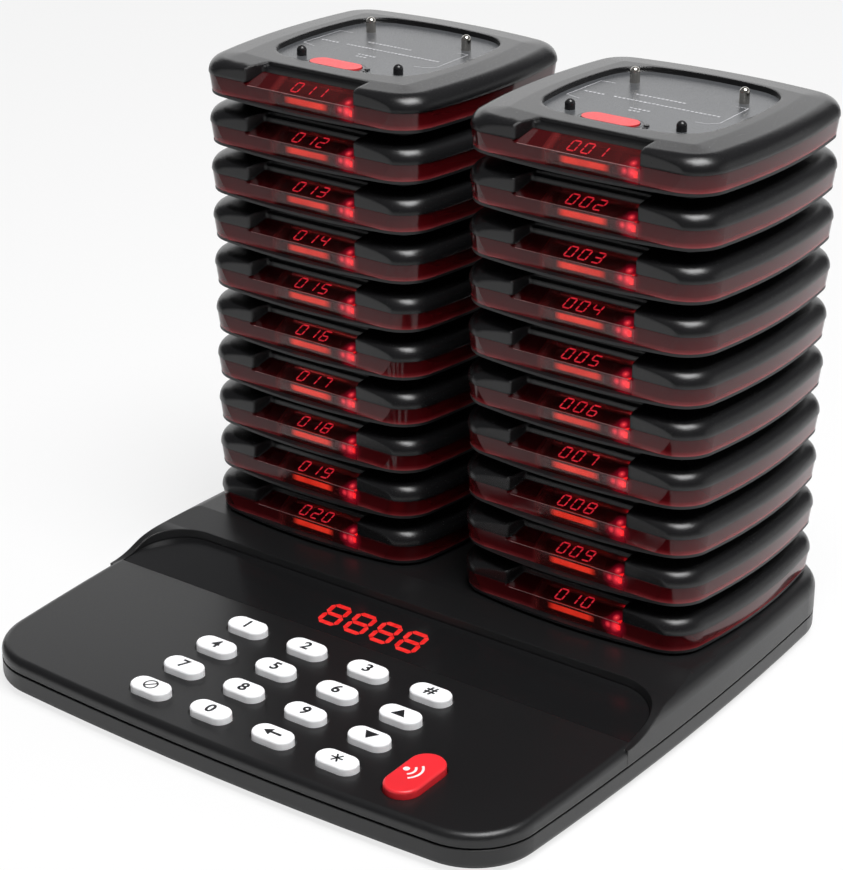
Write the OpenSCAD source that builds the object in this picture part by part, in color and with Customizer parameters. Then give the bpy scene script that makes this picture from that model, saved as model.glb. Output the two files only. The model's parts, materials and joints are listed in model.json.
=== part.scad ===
// Guest pager system: a keypad base that charges two stacks of ten coaster pagers
// Millimetres, +Z up. Origin: middle of the base footprint, on the plane the feet stand on.
// Front is -Y (the keypad side), right is +X.

/* [Base] */
// Half width of the base at the middle of a side, mm
base_b = 109.4; // [109:0.2:113]
// How far the base sides are bowed: more makes the sides flatter and the corners tighter
base_bow = 2.7; // [2.6:0.1:2.8]
// Height of the keypad panel above the table at the first key row, mm
panel_z = 14.7; // [14.4:0.1:16]
// Slope of the keypad panel, degrees
panel_tilt = 1.34; // [0.5:0.01:1.6]
// Slope of the display strip, degrees
strip_tilt = 7; // [5:0.5:8]
// Height of the deck the stacks stand on, mm
deck_z = 22; // [21.6:0.1:25]
// Wall thickness of the base shells, mm
base_wall = 2.2; // [1.8:0.1:2.4]

/* [Keys] */
// Pitch of the keys across, mm
key_pitch_x = 25.6; // [20:0.1:27]
// Pitch of the key rows, mm
key_pitch_y = 16.3; // [14:0.1:17]
// Length of a white key, mm
key_l = 15.2; // [12:0.1:17]
// Width of a white key, mm
key_w = 8.2; // [7:0.1:9]
// Length of the red key, mm
call_l = 24.6; // [18:0.1:27]
// Width of the red key, mm
call_w = 12.4; // [9:0.1:14]
// Height of the keys above the panel, mm
key_up = 2.6; // [1.5:0.1:4]
// Key travel, mm
key_travel = 0.8; // [0.4:0.1:0.9]

/* [Pagers] */
// Half width of a pager at the middle of a side, mm
pager_b = 49.8; // [49:0.1:51]
// How far the pager sides are bowed: more makes the sides flatter and the corners tighter
pager_bow = 1.375; // [1.35:0.025:1.4]
// Height of one pager, which is the pitch of the stack, mm
pager_h = 17.35; // [16.5:0.05:20]
// Distance between the two stacks, mm
stack_pitch = 110; // [106:1:112]
// Pagers in each stack
stack_n = 10; // [10:1:10]

/* [Pager details] */
// Depth of the recess in the pager top, mm
recess_deep = 1.8; // [1:0.1:2.2]
// Half width of the recess, mm
recess_b = 33.4; // [32:0.1:34]
// How far the recess sides are bowed
recess_bow = 0.7; // [0.6:0.05:0.8]
// Half spacing of the pins across, mm
pin_x = 20.7; // [19:0.1:24]
// Half spacing of the pins front to back, mm
pin_y = 19.6; // [17:0.1:21]
// Pin diameter, mm
pin_d = 3.4; // [2.4:0.1:3.8]
// Height of the charging pins above the recess floor, mm
charge_pin_up = 5.3; // [4:0.1:5.6]
// Height of the locating pins above the recess floor, mm
locate_pin_up = 3.5; // [2.6:0.1:4]
// Length of the pager button, mm
pager_button_l = 20.4; // [15:0.1:22]
// Width of the pager button, mm
pager_button_w = 8; // [6:0.1:9]
// Distance from the pager centre to its flat front face, mm
chord_y = 46.2; // [45.6:0.1:46.8]

/* [Hidden] */

$fn = 64;
eps = 0.01;

// base
low_z0 = 1;
groove_z0 = 8.2;
groove_z1 = 8.9;
lip_h = 2.2;
panel_edge_r = 2.6;
deck_edge_r = 5.4;
low_edge_r = 2.4;
wall_lean = 0.3;
deck_fall = 1.4;
deck_proud = 0.06;
stack_y = base_b - 53.4;
dock_deep = 3.2;
dock_z = deck_z - dock_deep;
dock_b = pager_b - 2.4;
strip_y = stack_y - 88.5;
strip_l = 25.7;
wall_y = strip_y + strip_l;
deck_y = stack_y - dock_b - 1;
shoulder_y = strip_y - 4;
strip_corner_r = 18;
strip_hw = base_b - 2.9;
window_sink = 0.3;
window_t = 1.9;
ledge_z = window_sink + window_t + 1.8;

// keys, in the frame of the panel
key_cols = 4;
key_rows = 4;
row_y0 = strip_y - 13.85;
col_x0 = -1.422 * key_pitch_x;
call_x = col_x0 + 3.95 * key_pitch_x;
call_y = row_y0 - 2.55 * key_pitch_y;
key_gap = 0.4;
flange = 1.2;
flange_h = 1.1;
crown_r = 0.9;

// inside the base
board_top = -6;
board_t = 1.6;
board_hw = 90;
board_y0 = row_y0 - 3 * key_pitch_y - 5.6;
board_y1 = wall_y - 4;
board_screw_r = 1.1;
switch_h = 1.5;
digits_x = -2.9;
digits_y = strip_y + 12.5;
module_z = -6.3;
module_l = 46;
module_w = 18;
post_x = 84;
post_yf = board_y0 + 6;
post_yr = strip_y - 8.5;
boss_r = 4;
boss_x = base_b - 12.4;
boss_yf = 15.4 - base_b;
boss_yr = base_b - 14.4;
screw_r = 1.5;
screw_head_r = 2.9;
screw_head_z = 1.3;
screw_head_h = 1.9;
foot_r = 7;
foot_x = base_b - 21.4;
foot_y = base_b - 24.4;
seam = 0.05;

// pager heights, from its own underside
dome_r = 5.5;
rim_drop = 0.6;
edge_w = 12.5;
inner_x = 400;
pager_arc = [24, 143, 145];
base_arc = [31, 480, 481];
rim_z = pager_h;
lens_z1 = pager_h - rim_drop - dome_r;
lens_z0 = lens_z1 - 6;
lens_in = 1;
lens_wall = 3;
cover_t = 2;
floor_z = pager_h - recess_deep;
floor_t = 1.6;
recess_y = 2.6;
inside_y = 36.2;
window_back = 39.8;
window_back_z = floor_z - 1.5;
window_front_z = lens_z1 - 0.9;
window_slope = (window_back_z - window_front_z) / (chord_y - window_back);
notch_in = -20.1;
notch_in_y = -37.6;
notch_l = -24.1;
notch_r = 22.2;
button_x = -3.4;
button_y = -22.7;
button_up = 0.5;
dot_x = 9.9;
dot_y = -23.6;
signal_x = 19.4;
bar_x = -8;
bar_l = 19;
bar_h = 2.8;

// names
row_names = ["a", "b", "c", "d"];
function pager_no(side, k) = side == 1 ? k : k + stack_n;
function pager_name(side, k) = str("pager_0", pager_no(side, k) < 10 ? "0" : "", pager_no(side, k));
function key_name(r, c) = str("key_", row_names[r], c + 1);
key_nodes = [for (r = [0:key_rows - 1]) for (c = [0:key_cols - 1]) key_name(r, c)];
low_nodes = [for (s = [1, -1]) for (k = [2:stack_n]) pager_name(s, k)];
top_parts = ["top_shell", "lens_body", "bottom_cover", "display", "button", "charging_pins", "locating_pins"];
top_nodes = [for (s = [1, -1]) for (p = top_parts) str(pager_name(s, 1), "_", p)];
base_nodes = ["base_lower_shell", "base_upper_shell", "display_window", "display_module", "circuit_board",
    "key_switches", "board_screws", "rubber_feet", "base_screws", "dock_charging_pins", "dock_locating_pins"];

// Plan shapes

module stadium(l, w) {
    union() {
        square([l - w, w], center = true);
        for (x = [-1, 1])
            translate([x * (l - w) / 2, 0])
                circle(w / 2);
    }
}

// A bowed square: b from the centre to the middle of a side, and n for how far it is bowed.
// The side arcs and the corner arcs meet on lines whose slope t[0] : t[1] has the whole number
// t[2] as hypotenuse, so that every centre below is an exact number and the arcs are tangent.
function bow_m(n, t) = t[0] * n;
function bow_k(n, t) = (t[1] - t[0]) * n;
function bow_c(b, n, t) = b - (t[2] + t[0] - t[1]) * n;
function bow_far(n, t) = [t[1] * 1.5 * n - bow_k(n, t), t[0] * 1.5 * n];

// The cells that share out the plan: one to a side, one to a corner
module side_cell(n, t) {
    m = bow_m(n, t);
    f = bow_far(n, t);
    polygon([[0, 0], [m, -m], [f[0], -f[1]], [f[0], f[1]], [m, m]]);
}

module corner_cell(n, t) {
    m = bow_m(n, t);
    f = bow_far(n, t);
    polygon([[m, m], f, [f[0], f[0]], [f[1], f[0]]]);
}

module bowed_plan(b, n, t = pager_arc) {
    m = bow_m(n, t);
    k = bow_k(n, t);
    union() {
        for (q = [0:3])
            rotate(q * 90) {
                intersection() {
                    translate([-k, 0])
                        circle(b + k, $fn = 360);
                    side_cell(n, t);
                }
                intersection() {
                    translate([m, m])
                        circle(bow_c(b, n, t));
                    corner_cell(n, t);
                }
            }
    }
}

// A profile turned about x = 0, with its outer edge r from there
module full_turn(r, z1) {
    rotate_extrude($fn = r > 50 ? 360 : 64)
        intersection() {
            translate([r, 0])
                children();
            square([r + 1, z1]);
        }
}

// A profile, with its outer edge at x = 0, carried round a bowed square, solid to the middle
module bowed_slab(b, n, t = pager_arc) {
    z1 = pager_h + 5;
    m = bow_m(n, t);
    k = bow_k(n, t);
    union() {
        for (q = [0:3])
            rotate([0, 0, q * 90]) {
                intersection() {
                    translate([-k, 0, 0])
                        full_turn(b + k, z1)
                            children();
                    linear_extrude(z1)
                        side_cell(n, t);
                }
                intersection() {
                    translate([m, m, 0])
                        full_turn(bow_c(b, n, t), z1)
                            children();
                    linear_extrude(z1)
                        corner_cell(n, t);
                }
            }
    }
}

module bowed_prism(b, z0, z1, inset = 0) {
    translate([0, 0, z0])
        linear_extrude(z1 - z0)
            bowed_plan(b - inset, pager_bow);
}

// Section of a slab edge: width r, depth h, top edge rounded by e
module edge_section(r, e, h) {
    union() {
        translate([0, -h])
            square([r - e, h]);
        translate([0, -h])
            square([r, h - e]);
        intersection() {
            translate([r - e, -e])
                circle(e);
            translate([r - e - eps, -e - eps])
                square([e + 1, e + 1]);
        }
    }
}

// The frame of the keypad panel: z = 0 is its surface
module on_panel() {
    translate([0, row_y0, panel_z])
        rotate([panel_tilt, 0, 0])
            translate([0, -row_y0, 0])
                children();
}

// The frame of the display strip, which slopes up from its front edge: z = 0 is its surface
module on_strip() {
    on_panel()
        translate([0, strip_y, 0])
            rotate([strip_tilt - panel_tilt, 0, 0])
                translate([0, -strip_y, 0])
                    children();
}

// Plan of the display strip, grown by g: straight at the front, rounded at the back
module strip_plan(g = 0) {
    hw = strip_hw + g;
    r = strip_corner_r + g;
    y0 = strip_y - g;
    y1 = wall_y + g;
    intersection() {
        translate([-hw, y0])
            square([2 * hw, y1 - y0]);
        union() {
            translate([-hw, y0 - r])
                square([2 * hw, y1 - y0]);
            translate([-hw + r, y0])
                square([2 * (hw - r), y1 - y0]);
            for (x = [-1, 1])
                translate([x * (hw - r), y1 - r])
                    circle(r);
        }
    }
}

module wall_section(w, h) {
    polygon([[0, 0], [w, 0], [w + wall_lean * h, h], [0, h]]);
}

// The space in front of the sloping wall behind the strip, in the frame of the strip
module wall_space(h) {
    x = strip_hw - strip_corner_r;
    y = wall_y - strip_corner_r;
    union() {
        for (s = [-1, 1]) {
            translate([s * x, y, 0])
                rotate([0, 0, s == 1 ? 0 : 90])
                    rotate_extrude(angle = 90)
                        wall_section(strip_corner_r, h);
            translate([s * x, y, 0])
                mirror([s == 1 ? 0 : 1, 0, 0])
                    rotate([90, 0, 0])
                        linear_extrude(y - strip_y)
                            wall_section(strip_corner_r, h);
        }
        translate([-x, y, 0])
            rotate([90, 0, 90])
                linear_extrude(2 * x)
                    wall_section(strip_corner_r, h);
        translate([-x, strip_y, 0])
            cube([2 * x, y - strip_y, h]);
    }
}

// Base

// The whole outline, w inside the edge
module base_plan(w) {
    bowed_plan(base_b - w, base_bow, base_arc);
}

// A slab with the whole outline, grown by g, its top at z = 0 and that edge rounded by e
module outline_slab(h, e, g = 0) {
    translate([0, 0, -h])
        bowed_slab(base_b + g, base_bow, base_arc)
            translate([-inner_x, h])
                edge_section(inner_x, e, h);
}

// Side view of the rear deck: it rises beside the strip, and then slowly to the stacks
module deck_side() {
    y0 = shoulder_y;
    y1 = wall_y - 1.2;
    z0 = panel_z + (y0 - row_y0) * tan(panel_tilt) - 0.3;
    h = (deck_z - deck_fall - z0) / 2;
    l = (y1 - y0) / 2;
    r = (l * l + h * h) / (2 * h);
    difference() {
        union() {
            polygon([[y1, 0], [base_b + 10, 0], [base_b + 10, deck_z], [deck_y, deck_z], [y1, z0 + 2 * h]]);
            translate([y0, 0])
                square([y1 - y0 + eps, z0 + h]);
            intersection() {
                translate([y1, z0 + 2 * h - r])
                    circle(r, $fn = 180);
                translate([y0 + l, z0 + h - eps])
                    square([l + eps, h + 1]);
            }
        }
        intersection() {
            translate([y0, z0 + r])
                circle(r, $fn = 180);
            translate([y0 - 1, z0])
                square([l + 1, h + 1]);
        }
    }
}

module boss_places() {
    for (x = [-1, 1])
        for (y = [boss_yf, boss_yr])
            translate([x * boss_x, y, 0])
                children();
}

module post_places() {
    for (x = [-1, 1])
        for (y = [post_yf, post_yr])
            translate([x * post_x, y, 0])
                children();
}

module key_place(r, c) {
    translate([col_x0 + c * key_pitch_x, row_y0 - r * key_pitch_y, 0])
        children();
}

module key_places() {
    for (r = [0:key_rows - 1])
        for (c = [0:key_cols - 1])
            key_place(r, c)
                children();
}

module call_place() {
    translate([call_x, call_y, 0])
        rotate([0, 0, 90])
            children();
}

module foot_places() {
    for (x = [-1, 1])
        for (y = [-1, 1])
            translate([x * foot_x, y * foot_y, 0])
                children();
}

module dock_places() {
    for (s = [-1, 1])
        translate([s * stack_pitch / 2, stack_y, 0])
            children();
}

module pin_places(s) {
    for (x = [-1, 1])
        translate([x * pin_x, s * pin_y, 0])
            children();
}

// A slab in the frame of the panel, from y0 to y1 and below z1
module panel_slab(y0, y1, z1) {
    on_panel()
        half_block(y0, y1, -30, z1);
}

// A block wider than the base
module half_block(y0, y1, z0, z1) {
    translate([-base_b - 5, y0, z0])
        cube([2 * base_b + 10, y1 - y0, z1 - z0]);
}

module upper_solid() {
    union() {
        intersection() {
            on_panel()
                outline_slab(16, panel_edge_r);
            half_block(-base_b - 5, strip_y + 2, groove_z1, 40);
        }
        on_strip()
            translate([0, 0, -5])
                linear_extrude(5)
                    strip_plan(0);
        difference() {
            intersection() {
                translate([0, 0, deck_z])
                    outline_slab(deck_z - groove_z1, deck_edge_r, deck_proud);
                rotate([90, 0, 90])
                    translate([0, 0, -base_b - 5])
                        linear_extrude(2 * base_b + 10)
                            deck_side();
            }
            on_strip()
                wall_space(deck_z);
            on_panel()
                translate([-strip_hw, shoulder_y - 1, -0.2])
                    cube([2 * strip_hw, strip_y - shoulder_y + 1 + eps, deck_z]);
        }
    }
}

module upper_hollow() {
    intersection() {
        linear_extrude(40)
            base_plan(base_wall + 0.2);
        union() {
            panel_slab(-base_b, strip_y - 1.5, -base_wall);
            on_strip()
                half_block(strip_y - 4, wall_y + 2.5, -30, -ledge_z);
            half_block(wall_y + 2.4, base_b, 0, dock_z - base_wall);
        }
    }
}

module upper_posts() {
    intersection() {
        boss_places()
            translate([0, 0, groove_z0])
                cylinder(r = boss_r, h = dock_z - 1 - groove_z0);
        union() {
            half_block(wall_y + 20, base_b + 5, 0, 40);
            panel_slab(-base_b - 5, wall_y, -1);
        }
    }
    on_panel()
        post_places()
            translate([0, 0, board_top])
                cylinder(r = 3, h = -board_top - 1);
}

module base_upper_shell() {
    color("#2b2b2d")
        difference() {
            union() {
                difference() {
                    upper_solid();
                    upper_hollow();
                }
                upper_posts();
            }
            on_strip() {
                translate([0, 0, -window_sink - window_t])
                    linear_extrude(40)
                        strip_plan(0);
                translate([digits_x - module_l / 2 - 0.3, digits_y - module_w / 2 - 0.3, -10])
                    cube([module_l + 0.6, module_w + 0.6, 10]);
            }
            on_panel() {
                key_places()
                    translate([0, 0, -5])
                        linear_extrude(10)
                            stadium(key_l + 2 * key_gap, key_w + 2 * key_gap);
                call_place()
                    translate([0, 0, -5])
                        linear_extrude(10)
                            stadium(call_l + 2 * key_gap, call_w + 2 * key_gap);
                post_places()
                    translate([0, 0, board_top - 1])
                        cylinder(r = board_screw_r, h = 4.3);
            }
            dock_places() {
                bowed_prism(dock_b, dock_z, dock_z + 20);
                for (s = [-1, 1])
                    pin_places(s)
                        translate([0, 0, dock_z - base_wall - 1])
                            cylinder(d = pin_d + 0.04, h = 10);
            }
            boss_places()
                translate([0, 0, groove_z0 - 1])
                    cylinder(r = screw_r + 0.02, h = 4.5);
        }
}

module base_lower_shell() {
    w = base_wall;
    color("#252527")
        difference() {
            union() {
                difference() {
                    translate([0, 0, low_z0])
                        mirror([0, 0, 1])
                            outline_slab(groove_z0 - low_z0, low_edge_r);
                    translate([0, 0, low_z0 + 2])
                        linear_extrude(20)
                            base_plan(w + 1.6);
                }
                // the lip behind the parting groove, clear of the bosses that come down from above
                difference() {
                    translate([0, 0, groove_z0 - 2])
                        linear_extrude(lip_h + 2)
                            difference() {
                                base_plan(w + 0.5);
                                base_plan(w + 1.7);
                            }
                    boss_places()
                        translate([0, 0, groove_z0 - seam])
                            cylinder(r = boss_r + 0.3, h = lip_h + 1);
                }
                boss_places()
                    translate([0, 0, low_z0 + 1])
                        cylinder(r = boss_r, h = groove_z0 - low_z0 - 1 - seam);
            }
            boss_places() {
                translate([0, 0, -1])
                    cylinder(r = screw_r + 0.1, h = 20);
                cylinder(r = screw_head_r + 0.2, h = screw_head_z + screw_head_h);
            }
            foot_places()
                cylinder(r = foot_r + 0.05, h = low_z0 + 0.6);
        }
}

module rubber_feet() {
    color("#161616")
        foot_places()
            cylinder(r = foot_r, h = low_z0 + 0.57);
}

module base_screws() {
    color("#8e9094")
        boss_places() {
            difference() {
                translate([0, 0, screw_head_z])
                    cylinder(r = screw_head_r, h = screw_head_h);
                translate([-2, -0.4, 0])
                    cube([4, 0.8, screw_head_z + 0.9]);
                translate([-0.4, -2, 0])
                    cube([0.8, 4, screw_head_z + 0.9]);
            }
            translate([0, 0, screw_head_z + screw_head_h - 0.5])
                cylinder(r = screw_r, h = groove_z0 + 3.7 - screw_head_z - screw_head_h);
        }
}

module display_window() {
    color("#15161a")
        on_strip()
            translate([0, 0, -window_sink - window_t + 0.02])
                linear_extrude(window_t - 0.02)
                    strip_plan(-0.1);
}

module display_module() {
    color("#2c2c2c")
        on_strip()
            translate([digits_x - module_l / 2, digits_y - module_w / 2, module_z])
                cube([module_l, module_w, -window_sink - window_t - module_z - 0.1]);
}

module circuit_board() {
    color("#1f5a38")
        on_panel()
            difference() {
                translate([-board_hw, board_y0, board_top - board_t])
                    cube([2 * board_hw, board_y1 - board_y0, board_t - 0.02]);
                post_places()
                    translate([0, 0, board_top - 5])
                        cylinder(r = board_screw_r + 0.1, h = 10);
            }
}

module board_screws() {
    color("#9a9da2")
        on_panel()
            post_places() {
                translate([0, 0, board_top - board_t - 1.42])
                    cylinder(r = 2.2, h = 1.4);
                translate([0, 0, board_top - board_t - 0.5])
                    cylinder(r = board_screw_r - 0.02, h = board_t + 3.5);
            }
}

module switch_block() {
    translate([-3, -3, board_top])
        cube([6, 6, 0.9]);
    translate([0, 0, board_top + 0.8])
        cylinder(r = 1.7, h = switch_h - 0.8);
}

module key_switches() {
    color("#b9bbbd")
        on_panel() {
            key_places()
                switch_block();
            call_place()
                switch_block();
        }
}

module crown_section(w) {
    union() {
        square([w / 2 - crown_r, crown_r]);
        intersection() {
            translate([w / 2 - crown_r, 0])
                circle(crown_r);
            square([w / 2 + 1, crown_r + 1]);
        }
    }
}

// Rounded top of a key
module key_crown(l, w) {
    for (s = [0, 180])
        rotate([0, 0, s]) {
            translate([(l - w) / 2, 0, 0])
                rotate([0, 0, -90])
                    rotate_extrude(angle = 180)
                        crown_section(w);
            translate([-(l - w) / 2, 0, 0])
                rotate([90, 0, 90])
                    linear_extrude(l - w)
                        crown_section(w);
        }
}

// A key: body, rounded crown, and a flange that stops it under the panel
module key_body(l, w) {
    z = -base_wall - 0.1;
    translate([0, 0, z - 0.1])
        linear_extrude(key_up - crown_r - z + 0.1)
            stadium(l, w);
    translate([0, 0, key_up - crown_r])
        key_crown(l, w);
    translate([0, 0, z - flange_h])
        linear_extrude(flange_h)
            stadium(l + 2 * flange, w + 2 * flange);
}

module key_cap(r, c) {
    color("#f1f1f2")
        on_panel()
            key_place(r, c)
                key_body(key_l, key_w);
}

module key_call() {
    color("#f0363c")
        on_panel()
            call_place()
                key_body(call_l, call_w);
}

module round_pin(z0, z1) {
    translate([0, 0, z0])
        cylinder(d = pin_d, h = z1 - pin_d / 2 - z0);
    translate([0, 0, z1 - pin_d / 2])
        sphere(d = pin_d);
    translate([0, 0, z0])
        cylinder(d = pin_d + 2, h = 1);
}

module dock_charging_pins() {
    color("#c9c6bf")
        dock_places()
            pin_places(1)
                round_pin(dock_z - base_wall - 1.02, dock_z + charge_pin_up - recess_deep);
}

module dock_locating_pins() {
    color("#18181a")
        dock_places()
            pin_places(-1)
                round_pin(dock_z - base_wall - 1.02, dock_z + locate_pin_up - recess_deep);
}

// Pager, in its own frame: z = 0 is its flat underside

module dome_section() {
    union() {
        polygon([[-inner_x, lens_z1], [-dome_r, lens_z1], [-dome_r, lens_z1 + dome_r],
            [-edge_w, rim_z], [-inner_x, rim_z]]);
        intersection() {
            translate([-dome_r, lens_z1])
                circle(dome_r);
            translate([-dome_r - eps, lens_z1])
                square([dome_r + 1, dome_r + 1]);
        }
    }
}

function notch_x(y) = notch_in + (notch_in - notch_l) / (chord_y + notch_in_y) * (y - notch_in_y);

// Plan of the display notch with its back wall at y = -back, shrunk by g
module notch_plan(back, g = 0) {
    y = -back - g;
    polygon([[notch_x(y) + g, y], [notch_r - g, y], [notch_r - g, -60], [notch_x(-60) + g, -60]]);
}

// Extrudes a side view, drawn as (y, z), from x0 to x1
module side_extrude(x0, x1) {
    translate([x0, 0, 0])
        rotate([90, 0, 90])
            linear_extrude(x1 - x0)
                children();
}

module chord_cut() {
    translate([-60, -chord_y - 20, -1])
        cube([120, 20, pager_h + 5]);
}

module pager_top_shell() {
    color("#262628")
        difference() {
            bowed_slab(pager_b, pager_bow)
                dome_section();
            // recess in the top
            translate([0, recess_y, floor_z])
                linear_extrude(10)
                    bowed_plan(recess_b, recess_bow);
            // inside
            intersection() {
                bowed_prism(pager_b, lens_z1 - 1, floor_z - floor_t, 4.4);
                translate([-60, -inside_y, 0])
                    cube([120, 120, 40]);
            }
            // display notch, in two steps
            translate([0, 0, floor_z + 0.3])
                linear_extrude(20)
                    notch_plan(38);
            translate([0, 0, lens_z1 - 1])
                linear_extrude(20)
                    notch_plan(window_back);
            chord_cut();
            for (s = [-1, 1])
                pin_places(s)
                    translate([0, 0, floor_z - 5])
                        cylinder(d = pin_d + 0.04, h = 10);
            translate([button_x, button_y, floor_z - 5])
                linear_extrude(10)
                    stadium(pager_button_l + 0.6, pager_button_w + 0.6);
            translate([dot_x, dot_y, floor_z - 0.8])
                cylinder(r = 1, h = 5);
        }
}

module lens_section() {
    polygon([[-0.2, lens_z1 - seam], [-inner_x, lens_z1 - seam], [-inner_x, lens_z0], [-lens_in, lens_z0]]);
}

module pager_lens_body() {
    z1 = lens_z1 - seam;
    color("#5d1416")
        difference() {
            union() {
                difference() {
                    bowed_slab(pager_b, pager_bow)
                        lens_section();
                    bowed_prism(pager_b, lens_z0 - 1, z1 + 1, lens_wall);
                }
                translate([-28, -chord_y, lens_z0])
                    cube([56, 1.6, z1 - lens_z0]);
                intersection() {
                    side_extrude(-40, 40)
                        polygon([[-chord_y, lens_z0], [-chord_y, window_front_z],
                            [-window_back - seam, window_back_z], [-window_back - seam, z1],
                            [-inside_y - 1, z1], [-inside_y - 1, lens_z0]]);
                    linear_extrude(40)
                        notch_plan(inside_y, seam);
                }
            }
            chord_cut();
            // the slanted face of the window
            intersection() {
                side_extrude(-40, 40)
                    polygon([[-chord_y - 5, window_front_z - 5 * window_slope],
                        [-window_back + 0.5, window_back_z + 0.5 * window_slope],
                        [-window_back + 0.5, 30], [-chord_y - 5, 30]]);
                linear_extrude(40)
                    notch_plan(window_back, -0.6);
            }
            // the space under the window
            side_extrude(-19.6, notch_r - 1.2)
                polygon([[-chord_y + 1.6, lens_z0 - 1], [-chord_y + 1.6, window_front_z - 1.2],
                    [-window_back - 0.6, window_back_z - 2], [-inside_y + 1, window_back_z - 2],
                    [-inside_y + 1, lens_z0 - 1]]);
        }
}

module cover_section() {
    polygon([[-lens_in, lens_z0 - seam], [-lens_in, lens_z0 - 1], [-edge_w, 0], [-inner_x, 0],
        [-inner_x, cover_t], [-edge_w + 1, cover_t], [-lens_in - 3, lens_z0 - seam]]);
}

module pager_bottom_cover() {
    color("#1c1c1e")
        difference() {
            union() {
                bowed_slab(pager_b, pager_bow)
                    cover_section();
                for (s = [-1, 1])
                    pin_places(s)
                        cylinder(r = 4, h = lens_z0 - seam);
            }
            pin_places(1)
                translate([0, 0, -1])
                    cylinder(d = pin_d + 0.7, h = charge_pin_up - recess_deep + 1.7);
            pin_places(-1)
                translate([0, 0, -1])
                    cylinder(d = pin_d + 0.7, h = locate_pin_up - recess_deep + 1.7);
        }
}

// Circuit board with the digit block, the light bar and the signal light
module pager_display() {
    z = lens_z0 + 1.1;
    color("#3a1113") {
        translate([-27, -34, lens_z0])
            cube([54, 60, 1.1]);
        translate([-19.4, -chord_y + 1.9, lens_z0])
            cube([19.4 + notch_r - 1.4, chord_y - 30, 1.1]);
        side_extrude(-9.5, 12.5)
            polygon([[-chord_y + 3.4, z], [-chord_y + 3.4, z + 1.5], [-window_back - 1, window_back_z - 2.4],
                [-window_back - 0.4, window_back_z - 2.4], [-window_back - 0.4, lens_z1 - 0.3],
                [-inside_y, lens_z1 - 0.3], [-inside_y, z]]);
        translate([bar_x, -chord_y + 1.9, z])
            cube([bar_l, 1, bar_h]);
        translate([signal_x, -chord_y + 4, z])
            cylinder(r = 1.2, h = 1.6);
    }
}

module pager_button() {
    z = floor_z - floor_t - 0.05;
    color("#f2555a")
        translate([button_x, button_y, 0]) {
            translate([0, 0, z - 0.1])
                linear_extrude(floor_t + 0.15 + button_up)
                    stadium(pager_button_l, pager_button_w);
            translate([0, 0, z - 1])
                linear_extrude(1)
                    stadium(pager_button_l + 2, pager_button_w + 2);
        }
}

module pager_charging_pins() {
    color("#c9c6bf")
        pin_places(1)
            round_pin(floor_z - floor_t - 1.05, floor_z + charge_pin_up);
}

module pager_locating_pins() {
    color("#18181a")
        pin_places(-1)
            round_pin(floor_z - floor_t - 1.05, floor_z + locate_pin_up);
}

module pager_place(side, k) {
    translate([side * stack_pitch / 2, stack_y, dock_z + (stack_n - k) * pager_h])
        children();
}

module whole_pager() {
    pager_top_shell();
    pager_lens_body();
    pager_bottom_cover();
    pager_display();
    pager_button();
    pager_charging_pins();
    pager_locating_pins();
}

base_lower_shell();
base_upper_shell();
display_window();
display_module();
circuit_board();
key_switches();
board_screws();
rubber_feet();
base_screws();
dock_charging_pins();
dock_locating_pins();
key_call();
for (r = [0:key_rows - 1])
    for (c = [0:key_cols - 1])
        key_cap(r, c);
for (s = [1, -1]) {
    n = pager_name(s, 1);
    for (k = [2:stack_n])
        pager_place(s, k) whole_pager();
    pager_place(s, 1) pager_top_shell();
    pager_place(s, 1) pager_lens_body();
    pager_place(s, 1) pager_bottom_cover();
    pager_place(s, 1) pager_display();
    pager_place(s, 1) pager_button();
    pager_place(s, 1) pager_charging_pins();
    pager_place(s, 1) pager_locating_pins();
}
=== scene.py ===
import json
import math

import bpy
from mathutils import Matrix, Vector


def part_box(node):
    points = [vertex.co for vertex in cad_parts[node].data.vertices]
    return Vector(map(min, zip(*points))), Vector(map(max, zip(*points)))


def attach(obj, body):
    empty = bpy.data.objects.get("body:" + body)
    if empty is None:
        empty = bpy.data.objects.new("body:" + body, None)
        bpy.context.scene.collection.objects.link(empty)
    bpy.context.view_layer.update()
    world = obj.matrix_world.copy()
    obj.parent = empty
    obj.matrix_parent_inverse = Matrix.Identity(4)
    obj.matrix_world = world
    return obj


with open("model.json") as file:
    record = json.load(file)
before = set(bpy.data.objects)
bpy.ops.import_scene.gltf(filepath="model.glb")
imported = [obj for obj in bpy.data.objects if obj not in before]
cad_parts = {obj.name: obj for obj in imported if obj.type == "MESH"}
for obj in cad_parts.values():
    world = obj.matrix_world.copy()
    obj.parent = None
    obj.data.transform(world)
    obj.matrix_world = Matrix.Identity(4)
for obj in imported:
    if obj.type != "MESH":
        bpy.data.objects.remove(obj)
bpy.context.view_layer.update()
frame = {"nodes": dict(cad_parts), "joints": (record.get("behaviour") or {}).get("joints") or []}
cad = frame["nodes"]
print("frame loaded:", len(cad), "nodes")

mm = 0.001
stackSize = 10
stackSides = {"right": 1, "left": -1}
keyRows, keyColumns = "abcd", 4


def pagerNumber(side, place):
    # place 1 is the top of a stack
    return place if side > 0 else place + stackSize


def pagerName(side, place):
    return "pager_%03d" % pagerNumber(side, place)


def meshFrom(name, points, faces, material):
    mesh = bpy.data.meshes.new(name)
    mesh.from_pydata([tuple(p) for p in points], [], faces)
    mesh.update()
    piece = bpy.data.objects.new(name, mesh)
    bpy.context.scene.collection.objects.link(piece)
    mesh.materials.append(material)
    return piece


class Plate:
    # x to the right, y up the plate, z out of it, in millimetres from its own origin

    def __init__(self, origin, right, out):
        self.origin = Vector(origin)
        self.right = Vector(right).normalized()
        self.out = Vector(out).normalized()
        self.up = self.out.cross(self.right)

    def at(self, x, y, z=0.0):
        return self.origin + (self.right * x + self.up * y + self.out * z) * mm


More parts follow.
